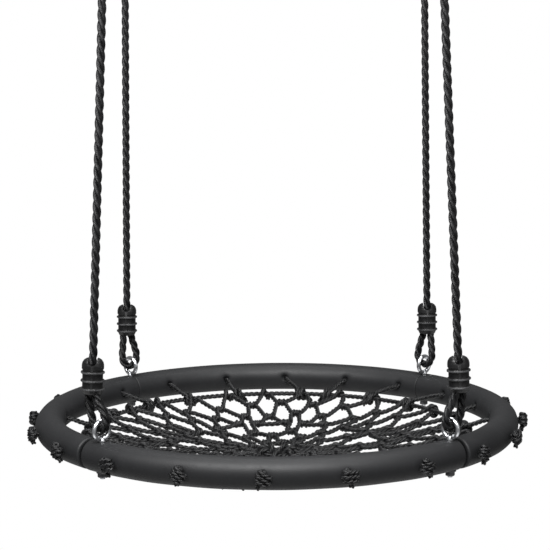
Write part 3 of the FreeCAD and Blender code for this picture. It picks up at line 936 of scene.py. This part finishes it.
@dataclass
class Eyebolts:
    """An eyebolt at each corner, with a washer and a nut, and the hanging rings above."""

    eye_height: float = 0.031
    eye_radius: float = 0.01075
    wire: float = 0.00275
    shank: float = 0.003
    pitch: float = 0.001
    washer: tuple[float, float, float] = (0.0033, 0.0070, 0.0016)
    seat: float = 0.0172
    nut_flats: float = 0.010
    nut_height: float = 0.005
    tip: float = 0.026
    tip_bevel: float = 0.0006
    thread_top: float = 0.0135
    thread_depth: float = 0.00045
    nut_bore: float = 0.00305
    ring_radius: float = 0.024
    ring_wire: float = 0.004
    weld_swell: float = 0.10
    weld_width: float = 0.0022

    def bolt(self) -> bpy.types.Object:
        """An eye with a flared neck and a threaded shank, round the world's Z axis."""
        eye = torus("eyebolt", self.eye_radius, self.wire, self.eye_height, 72)
        foot = self.eye_height - self.eye_radius
        outline = [(0.0, -self.tip), (self.shank - self.tip_bevel, -self.tip)]
        root = self.shank - self.thread_depth
        height = -self.tip + self.tip_bevel
        while height < -self.thread_top:
            outline += [(self.shank, height), (root, height + self.pitch / 2.0)]
            height += self.pitch
        outline += [
            (self.shank, height), (self.shank, self.seat), (0.0043, self.seat + 0.0004),
            (0.0041, foot - 0.0012), (0.0032, foot + 0.0016), (0.0, foot + 0.0018),
        ]
        combine(eye, turned("shank", outline, 32, 0.0), "UNION")
        soften(eye, 0.00015, 50.0)
        return eye

    def nut(self) -> bpy.types.Object:
        """A hexagon nut with turned corners."""
        deselect()
        top = -self.seat - self.washer[2]
        middle = top - self.nut_height / 2.0
        bpy.ops.mesh.primitive_cylinder_add(
            vertices=6, radius=self.nut_flats / 2.0 / math.cos(math.pi / 6.0),
            depth=self.nut_height, location=(0.0, 0.0, middle),
        )
        nut = bpy.context.object
        nut.name = "nut"
        bpy.ops.object.transform_apply(location=True, rotation=True, scale=True)
        wide, narrow, low = 0.0061, 0.0050, top - self.nut_height
        lid, bevel, beyond = 1e-4, 0.0007, 0.001
        crown = [
            (0.0, low - lid), (narrow - 0.0002, low - lid), (narrow, low), (wide, low + bevel),
            (wide, top - bevel), (narrow, top), (narrow - 0.0002, top + lid), (0.0, top + lid),
        ]
        combine(nut, turned("crown", crown, 48, 0.0), "INTERSECT")
        bore = [
            (0.0, low - beyond), (self.nut_bore, low - beyond),
            (self.nut_bore, top + beyond), (0.0, top + beyond),
        ]
        combine(nut, turned("bore", bore, 32, 0.0), "DIFFERENCE")
        soften(nut, 0.00012, 25.0)
        return nut

    def build(self) -> None:
        """Makes the eyebolts, washers and nuts."""
        zinc = MetalFinish(
            "zinc_skin", (0.42, 0.43, 0.45, 1.0), (0.74, 0.75, 0.77, 1.0), 0.17
        ).build()
        # A darker copy of the zinc for the washers and nuts under the foam: painted shade.
        shaded_zinc = MetalFinish(
            "zinc_painted_shade", (0.05, 0.05, 0.053, 1.0), (0.16, 0.16, 0.165, 1.0), 0.36
        ).build()
        inner, outer, thick = self.washer
        over, under = -self.seat, -self.seat - thick
        ring = [(inner, under), (outer, under), (outer, over), (inner, over), (inner, under)]
        washer = turned("washer", ring, 48, 0.0)
        soften(washer, 0.0002, 50.0)
        bolt, nut = self.bolt(), self.nut()
        joined: dict[str, list[bpy.types.Object]] = {"washers": [], "nuts": []}
        for corner, (side, end) in CORNERS.items():
            turn = Matrix.Rotation(math.radians(45.0 * side * end), 4, "Z")
            place = Matrix.Translation((side * CORNER, end * CORNER, -HANG)) @ turn
            piece = copy_to(bolt, f"eyebolt_zinc_{corner}", place)
            dress(piece, zinc, Slot.ZINC, "seat", f"eyebolt_{corner}")
            spun = place @ Matrix.Rotation(0.4 * side + 0.9 * end, 4, "Z")
            joined["washers"].append(copy_to(washer, f"washer_{corner}", place))
            joined["nuts"].append(copy_to(nut, f"nut_{corner}", spun))
        for kind, pieces in joined.items():
            activate(pieces[0])
            for piece in pieces[1:]:
                piece.select_set(True)
            bpy.ops.object.join()
            pieces[0].name = f"corner_{kind}"
            dress(pieces[0], shaded_zinc, Slot.ZINC, "seat", f"eyebolt_{kind}")
        for made in (bolt, nut, washer):
            bpy.data.objects.remove(made)
        self.hangers(zinc)

    def hangers(self, zinc: bpy.types.Material) -> None:
        """The four hanging rings, each with a bead where its wire is welded shut."""
        radius = self.ring_radius
        for corner, (side, end) in CORNERS.items():
            middle = rope_end(side, end, LOOP_CROWN) + Vector((0.0, 0.0, radius))
            ring = torus(f"hanging_ring_zinc_{corner}", radius, self.ring_wire, 0.0, 96)
            weld = Vector((side * radius, 0.0, 0.0))
            for vertex in ring.data.vertices:
                spoke = Vector((vertex.co.x, 0.0, vertex.co.z)).normalized() * radius
                gap = (spoke - weld).length
                swell = 1.0 + self.weld_swell * math.exp(-((gap / self.weld_width) ** 2))
                vertex.co = spoke + (vertex.co - spoke) * swell
            ring.data.transform(Matrix.Translation(middle))
            bpy.ops.object.shade_smooth()
            dress(ring, zinc, Slot.ZINC, "hangers", f"hanging_ring_{corner}")


@dataclass
class Ferrules:
    """The moulded ferrules that close each rope's ends into loops."""

    height: float = FERRULE_HEIGHT
    core: float = 0.0118
    band: float = 0.0127
    rib: float = 0.0137
    pitch: float = 0.0095
    rib_thick: float = 0.0018
    web: float = 0.0034
    slot: float = 0.0052
    notch: float = 0.0085

    def outline(self) -> list[tuple[float, float]]:
        """Radii and heights up the ferrule's side."""
        core, band, top = self.core, self.band, self.height
        points = [(0.0, 0.0), (core - 0.0014, 0.0), (band - 0.0004, self.pitch * 0.5 - 0.0004)]
        for k in range(3):
            foot = self.pitch * (k + 0.5)
            points += [(self.rib, foot), (self.rib, foot + self.rib_thick)]
            if k < 2:
                points.append((core, foot + self.rib_thick + 0.0003))
                points.append((core, foot + self.pitch - 0.0003))
        crown = self.pitch * 2.5 + self.rib_thick
        points += [
            (core, crown + 0.0003), (core, crown + 0.0022), (band, crown + 0.0034),
            (band, top - 0.0078), (band - 0.0007, top - 0.0047), (band - 0.0026, top - 0.0019),
            (band - 0.0050, top - 0.0004), (band - 0.0072, top), (0.0, top),
        ]
        return points

    @staticmethod
    def box(
        size: Sequence[float], middle: Sequence[float], rounding: float
    ) -> bpy.types.Object:
        """A block with rounded edges."""
        deselect()
        bpy.ops.mesh.primitive_cube_add(size=1.0, location=middle, scale=size)
        block = bpy.context.object
        bpy.ops.object.transform_apply(location=True, rotation=True, scale=True)
        bpy.ops.object.mode_set(mode="EDIT")
        bpy.ops.mesh.select_all(action="SELECT")
        bpy.ops.mesh.bevel(affect="EDGES", offset=rounding, segments=3)
        deselect()
        return block

    def model(self) -> bpy.types.Object:
        """A ferrule that stands on the world's origin, its notch across the Y axis."""
        piece = turned("ferrule", self.outline(), 72, 0.00035)
        tall = self.height - 0.006
        size = (self.web, 2.0 * self.band, tall - 0.0012)
        web = self.box(size, (0.0, 0.0, tall / 2.0 + 0.0006), 0.0006)
        combine(piece, web, "UNION")
        floor = self.height - self.notch
        groove = self.box((2.0 * self.slot, 0.06, 0.03), (0.0, 0.0, floor + 0.015), 0.0049)
        combine(piece, groove, "DIFFERENCE")
        soften(piece, 0.0004, 38.0)
        # The relief sets the plastic's painted shade in the recesses and painted highlight on the
        # ribs.
        relief = piece.data.attributes.new("relief", "FLOAT", "POINT")
        for value, vertex in zip(relief.data, piece.data.vertices):
            out = (vertex.co.xy.length - self.core) / (self.rib - self.core)
            value.value = min(1.0, max(0.0, out))
        return piece

    def build(self) -> None:
        """Makes the eight ferrules."""
        material = PlasticFinish("ferrule_moulded").build()
        model = self.model()
        across = Vector((1.0, 0.0, 0.0))
        for corner, (side, end) in CORNERS.items():
            low, _, line = rope_line(side, end)
            crown = rope_end(side, end, UPPER_SHOULDER) + line * self.height
            body = f"rope_{corner}"
            for level, origin, along in (("lower", low, line), ("upper", crown, -line)):
                piece = copy_to(model, f"ferrule_{level}_{corner}", place_of(origin, across, along))
                dress(piece, material, Slot.FERRULE, body, f"{level}_ferrule_{corner}")
        bpy.data.objects.remove(model)


@dataclass
class HangingRopes:
    """The four ropes that carry the seat, and the loops at both their ends."""

    notch: float = 0.008
    lower_knee: tuple[float, float, float, float] = (0.0087, 0.0138, 0.0112, 0.0072)
    upper_knee: tuple[float, float, float, float] = (0.0070, 0.0100, 0.0084, 0.0053)
    leg: float = 0.0053
    inside: float = 0.004
    eye: float = 0.0315
    bend: float = 0.0093
    straight: float = 0.060
    length: float = 0.431
    lower_length: dict[int, float] = field(default_factory=lambda: {-1: 0.1111, 1: 0.1092})
    upper_length: float = 0.1177

    def rope(self, corner: str, material: bpy.types.Material) -> None:
        """One hanging rope between its two ferrules."""
        side, end = CORNERS[corner]
        low = rope_end(side, end, FERRULE_FOOT)
        shoulder = rope_end(side, end, UPPER_SHOULDER)
        line = (shoulder - low).normalized()
        start = low + line * (FERRULE_HEIGHT - self.notch)
        last = shoulder + line * self.notch
        controls = [start, start + line * self.straight, last - line * self.straight, last]
        points = route(controls, ROPE_10.step)
        skin = Skin(f"rope_{corner}_strands")
        ROPE_10.wind(skin, points, start=0.8 * side + 0.5 * end)
        piece = skin.build()
        dress(piece, material, Slot.ROPE, f"rope_{corner}", f"hanging_rope_{corner}")

    def loop(
        self, name: str, node: str, body: str, place: Matrix, length: float,
        knee: Sequence[float], material: bpy.types.Material,
    ) -> None:
        """One loop, from one leg's end down round its bight and back.

        Args:
            name: the piece's name.
            node: the CAD node that it stands for.
            body: the body that it rides on.
            place: where the bight's lowest point is, with Z towards the ferrule.
            length: distance from the bight to the legs' ends.
            knee: half widths of a leg and the bight's shoulder, the shoulder's height, and
                the half width of the bight's floor.
            material: the rope's finish.
        """
        half, shoulder, height, floor = knee
        side = [(self.leg, length), (half, length * 0.67), (shoulder, height), (floor, 0.0)]
        controls = [place @ Vector((-x, 0.0, z)) for x, z in side]
        controls += [place @ Vector((x, 0.0, z)) for x, z in reversed(side)]
        points = route(controls, LOOP_10.step)
        skin = Skin(name)
        LOOP_10.wind(skin, points, start=0.4)
        piece = skin.build()
        dress(piece, material, Slot.ROPE, body, node)

    def build(self) -> None:
        material = RopeFinish("hanging_rope_fibre", 0.0011).build()
        for corner, (side, end) in CORNERS.items():
            body = f"rope_{corner}"
            self.rope(corner, material)
            low, high, line = rope_line(side, end)
            eye = Vector((side * CORNER, end * CORNER, self.eye - HANG))
            reach = low - eye
            place = place_of(eye, Vector((1.0, -side * end, 0.0)), reach)
            self.loop(
                f"loop_lower_{corner}", f"lower_loop_{corner}", body, place,
                reach.length + self.inside, self.lower_knee, material,
            )
            top = high + line * self.bend
            crown = rope_end(side, end, UPPER_SHOULDER) + line * FERRULE_HEIGHT
            place = place_of(top, Vector((0.0, 1.0, 0.0)), -line)
            self.loop(
                f"loop_upper_{corner}", f"upper_loop_{corner}", body, place,
                (top - crown).length + self.inside, self.upper_knee, material,
            )


@dataclass
class Net:
    """The knotless net: a rim rope, seven zigzag rows that twist together, and a small ring.

    The reach and the rise are how far a row winds out of a meeting's middle, and the wrap is
    the same where it winds round the rim rope or the small ring. All three count in ropes.
    """

    bands: tuple[float, ...] = (0.236, 0.199, 0.166, 0.135, 0.106, 0.078, 0.050, 0.022)
    meshes: tuple[int, ...] = (28, 28, 28, 14, 14, 14, 7)
    rim_drop: float = 0.016
    sag: float = 0.044
    centre: float = 0.0187
    rope: float = 0.006
    bond_length: float = 0.0115
    reach: float = 0.52
    rise: float = 0.45
    wrap: float = 1.10
    first_tip: float = -2.5
    stray: float = 0.0008
    slack_drop: float = 0.0006

    def height(self, radius: float) -> float:
        """Height of the net's surface, a shallow bowl, above the ring's middle plane."""
        return (self.sag - self.rim_drop) * (radius / self.bands[0]) ** 2 - self.sag

    def wobble(self, band: int, angle: float) -> tuple[float, float, float]:
        """How far a meeting of two rows is out of place: outwards, round, and up."""
        if band in (0, len(self.bands) - 1):
            return 0.0, 0.0, 0.0
        chance = random.Random(f"meeting {band} {round(angle % 360.0, 1)}")
        return chance.gauss(0.0, 0.0022), chance.gauss(0.0, 0.9), chance.gauss(0.0, 0.0011)

    def bond(self, band: int, angle: float, outside: bool) -> list[Vector]:
        """Control points where a row winds once round its neighbour.

        Args:
            band: which band the meeting is on.
            angle: the angle of its middle.
            outside: whether this row lies outside the band, and so starts outwards.

        Returns:
            Points in the order of growing angle.
        """
        out, along, up = self.wobble(band, angle)
        middle = self.bands[band] + out
        reach, rise = self.rope * self.reach, self.rope * self.rise
        if band in (0, len(self.bands) - 1):
            middle = self.centre if band else self.bands[0]
            reach = rise = self.rope * self.wrap
        pitch = 360.0 / self.meshes[max(band - 1, 0)]
        width = min(self.bond_length, 0.5 * math.radians(pitch) * middle)
        half = math.degrees(width / 2.0 / middle)
        points = []
        for k in range(9):
            share = k / 8.0
            turn = (0.0 if outside else math.pi) + 2.0 * math.pi * share
            radius = middle + reach * math.cos(turn)
            z = self.height(middle) + up + rise * math.sin(turn)
            points.append(polar(radius, angle + along - half + 2.0 * half * share, z))
        return points

    def row(self, number: int, start: float, spread: float, material: bpy.types.Material) -> None:
        """One zigzag row.

        Args:
            number: from 1 at the rim to 7 at the middle.
            start: angle of its first outer tip.
            spread: half the angle between the two tips that meet a wide outer tip, or 0.
            material: the net's finish.
        """
        meshes = self.meshes[number - 1]
        controls: list[Vector] = []
        chance = random.Random(f"row {number}")
        for k in range(2 * meshes):
            inner = bool(k % 2)
            angle = start + 180.0 / meshes * k
            for side in (-spread, spread) if spread and not inner else (0.0,):
                here = self.bond(number if inner else number - 1, angle + side, inner)
                if controls:
                    controls.append(self.slack(controls[-1], here[0], chance))
                controls += here
        controls.append(self.slack(controls[-1], controls[0], chance))
        skin = Skin(f"net_row_{number}_rope")
        NET_6.wind(skin, route(controls, NET_6.step, True), True)
        dress(skin.build(), material, Slot.NET, "seat", f"net_row_{number}")

    def slack(self, here: Vector, there: Vector, chance: random.Random) -> Vector:
        """A point halfway along a run, a little out of line."""
        stray = [chance.gauss(0.0, self.stray) for _ in range(2)]
        return (here + there) / 2.0 + Vector([*stray, -self.slack_drop])

    def build(self, material: bpy.types.Material) -> None:
        """Makes the rim rope, the rows and the middle ring."""
        for name, node, radius in (
            ("net_rim_strands", "net_rim_rope", self.bands[0]),
            ("net_middle_ring", "net_centre_ring", self.centre),
        ):
            skin = Skin(name)
            count = math.ceil(2.0 * math.pi * radius / NET_6.step)
            z = self.height(radius)
            points = [polar(radius, 360.0 * k / count, z) for k in range(count)]
            NET_6.wind(skin, np.array(points), True)
            dress(skin.build(), material, Slot.NET, "seat", node)
        start = self.first_tip + 180.0 / self.meshes[0]
        before = self.meshes[0]
        for number, meshes in enumerate(self.meshes, start=1):
            spread = 180.0 / before if meshes < before else 0.0
            start += spread
            self.row(number, start, spread, material)
            start += 180.0 / meshes
            before = meshes


@dataclass
class Lashings:
    """The ties from the stopper knots, through the ring, down to the net's rim rope.

    A tie's path gives a radius, a share of the tie's slant, and a height.
    """

    knot_reach: float = 0.3063
    knot_wide: float = 0.0082
    knot_tall: float = 0.0140
    knot_depth: float = 0.0033
    coils: float = 2.75
    taper: float = 0.26
    tail: float = 0.0098
    tail_foot: float = 0.0045
    wrap: float = 0.0061
    wrap_pitch: float = 0.0063
    turns: float = 1.75
    path: tuple[tuple[float, float, float], ...] = (
        (0.3050, 0.0, 0.0), (0.2900, 0.0, 0.0), (0.2740, 0.0, 0.0),
        (0.2630, 0.0, -0.0004), (0.2560, 0.25, -0.0022), (0.2480, 0.7, -0.0065),
    )

    def tie(self, skew: float, angle: float, rim: float, drop: float) -> np.ndarray:
        """One tie's centreline.

        Args:
            skew: how far round the rim it slants.
            angle: its angle.
            rim: radius of the rim rope.
            drop: height of the rim rope.

        Returns:
            Points from the stopper knot to the tie's tail.
        """
        way = 1.0 if skew >= 0.0 else -1.0
        controls = [polar(radius, angle + share * skew, z) for radius, share, z in self.path]
        reach = self.wrap * 1.13
        steps = 14
        for step in range(steps + 1):
            share = step / steps
            turn = math.radians(70.0) + 2.0 * math.pi * self.turns * share
            run = way * math.degrees(self.turns * self.wrap_pitch * share / rim)
            out, up = reach * math.cos(turn), reach * math.sin(turn)
            controls.append(polar(rim + out, angle + skew + run, drop + up))
        run = way * math.degrees((self.turns * self.wrap_pitch + 0.004) / rim)
        controls += [
            polar(rim + 0.0075, angle + skew + run, drop - 0.0060),
            polar(rim + 0.0085, angle + skew + run + way * 0.9, drop - 0.0120),
        ]
        return route(controls, TIE_6.step)

    def knot(self, skin: Skin, angle: float, chance: random.Random) -> None:
        """One stopper knot with its short tail, flat against the foam.

        Args:
            skin: what gathers the strands.
            angle: its angle round the ring.
            chance: where its turn, size and tail come from.
        """
        out = (polar(1.0, angle) - polar(0.0, angle)).normalized()
        side = Vector((0.0, 0.0, 1.0)).cross(out)
        middle = polar(self.knot_reach, angle)
        turn = chance.uniform(-0.7, 0.7)
        wide = self.knot_wide * chance.uniform(0.94, 1.04)
        tall = self.knot_tall * chance.uniform(0.94, 1.02)

        def at(x: float, y: float, z: float) -> Vector:
            """A point of the knot, turned in the plane of the foam."""
            a = x * math.cos(turn) - y * math.sin(turn)
            b = x * math.sin(turn) + y * math.cos(turn)
            return middle + side * a + Vector((0.0, 0.0, b)) + out * z

        controls = [at(0.0, -0.2 * tall, 0.0)]
        steps = 32
        for step in range(steps + 1):
            share = step / steps
            t = 2.0 * math.pi * self.coils * share
            swell = 1.0 - self.taper * (2.0 * share - 1.0) ** 2
            deep = self.knot_depth * swell * math.sin(t)
            controls.append(at(wide * swell * math.cos(t), tall * (share - 0.5), deep))
        controls.append(at(0.0, 0.2 * tall, 0.0))
        TIE_6.wind(skin, route(controls, TIE_6.step), False, turn)
        lean = chance.uniform(-0.6, 0.6)
        down = Vector((0.0, 0.0, -1.0)) * math.cos(lean) + side * math.sin(lean)
        start = middle + down * self.tail_foot - out * 0.001
        reach = self.tail * chance.uniform(0.75, 1.0)
        belly = start + down * reach * 0.45 + out * 0.0008
        controls = [start, belly, start + down * reach - out * 0.0016]
        TIE_6.wind(skin, route(controls, TIE_6.step), False, turn)

    def build(self, net: Net, material: bpy.types.Material) -> None:
        """Makes the ties and the stopper knots, each kind as one piece."""
        ties, knots = Skin("lashing_ties"), Skin("stopper_knots")
        chance = random.Random("knots")
        for skew, angle in zip(LASH_SKEWS, LASH_ANGLES):
            points = self.tie(skew, angle, net.bands[0], -net.rim_drop)
            TIE_6.wind(ties, points, False, chance.uniform(0.0, 6.0))
            self.knot(knots, angle, chance)
        dress(ties.build(), material, Slot.NET, "seat", "net_lashings")
        dress(knots.build(), material, Slot.NET, "seat", "rim_knots")


@dataclass
class Studio:
    """The camera, the pale floor, the soft lights and the surroundings.

    The surroundings light the swing at the world's level, and look white behind it.
    """

    eye: tuple[float, float, float] = (0.0114, -2.2435, -0.1663)
    pitch: float = 7.795
    pan: float = 0.319
    roll: float = -0.371
    lens: float = 119.7
    floor: float = -2.6
    world: float = 0.20
    aim: tuple[float, float, float] = (0.0, 0.0, -0.62)

    def camera(self) -> None:
        """The camera at the front, a little above the seat."""
        data = bpy.data.cameras.new("camera")
        data.lens = self.lens
        data.sensor_width = 36.0
        made = bpy.data.objects.new("camera", data)
        made.matrix_world = (
            Matrix.Translation(self.eye)
            @ Matrix.Rotation(math.radians(self.pan), 4, "Z")
            @ Matrix.Rotation(math.radians(90.0 - self.pitch), 4, "X")
            @ Matrix.Rotation(math.radians(self.roll), 4, "Z")
        )
        bpy.context.scene.collection.objects.link(made)
        bpy.context.scene.camera = made

    def light(
        self, name: str, place: Sequence[float], size: tuple[float, float], power: float
    ) -> None:
        """A soft rectangular light that points at the seat."""
        data = bpy.data.lights.new(name, "AREA")
        data.shape = "RECTANGLE"
        data.size, data.size_y = size
        data.energy = power
        made = bpy.data.objects.new(name, data)
        made.location = place
        way = Vector(self.aim) - Vector(place)
        made.rotation_euler = way.to_track_quat("-Z", "Y").to_euler()
        bpy.context.scene.collection.objects.link(made)

    def stage(self) -> None:
        """A pale floor, well below the seat."""
        deselect()
        bpy.ops.mesh.primitive_plane_add(size=6.0, location=(0.0, 0.0, self.floor))
        floor = bpy.context.object
        floor.name = "studio_floor"
        floor.data.materials.append(StageFinish().build())

    def build(self) -> None:
        """Sets up the floor, the lights and the surroundings."""
        self.stage()
        self.light("key", (-0.3, -1.4, 1.1), size=(2.2, 0.8), power=270.0)
        self.light("top", (0.2, 0.3, 1.5), size=(2.2, 1.0), power=60.0)
        self.light("fill", (1.9, -1.3, 0.2), size=(0.8, 1.4), power=7.0)
        world = bpy.data.worlds.new("studio")
        world.use_nodes = True
        tree = world.node_tree
        path = tree.nodes.new("ShaderNodeLightPath")
        level = tree.nodes.new("ShaderNodeMapRange")
        level.inputs["To Min"].default_value = self.world
        back = tree.nodes["Background"]
        back.inputs["Color"].default_value = (1.0, 1.0, 1.0, 1.0)
        tree.links.new(path.outputs["Is Camera Ray"], level.inputs["Value"])
        tree.links.new(level.outputs["Result"], back.inputs["Strength"])
        bpy.context.scene.world = world
        bpy.context.scene.view_settings.view_transform = "Standard"


def main() -> None:
    """Builds the swing and its studio."""
    logging.basicConfig(level=logging.INFO, format="%(name)s: %(message)s")
    studio = Studio()
    studio.camera()
    Ferrules().build()
    HangingRopes().build()
    Eyebolts().build()
    SteelRing().build()
    SeatPad().build()
    net = Net()
    fibre = RopeFinish("net_rope_fibre", 0.0008).build()
    net.build(fibre)
    Lashings().build(net, fibre)
    studio.build()


if __name__ == "__main__":
    main()
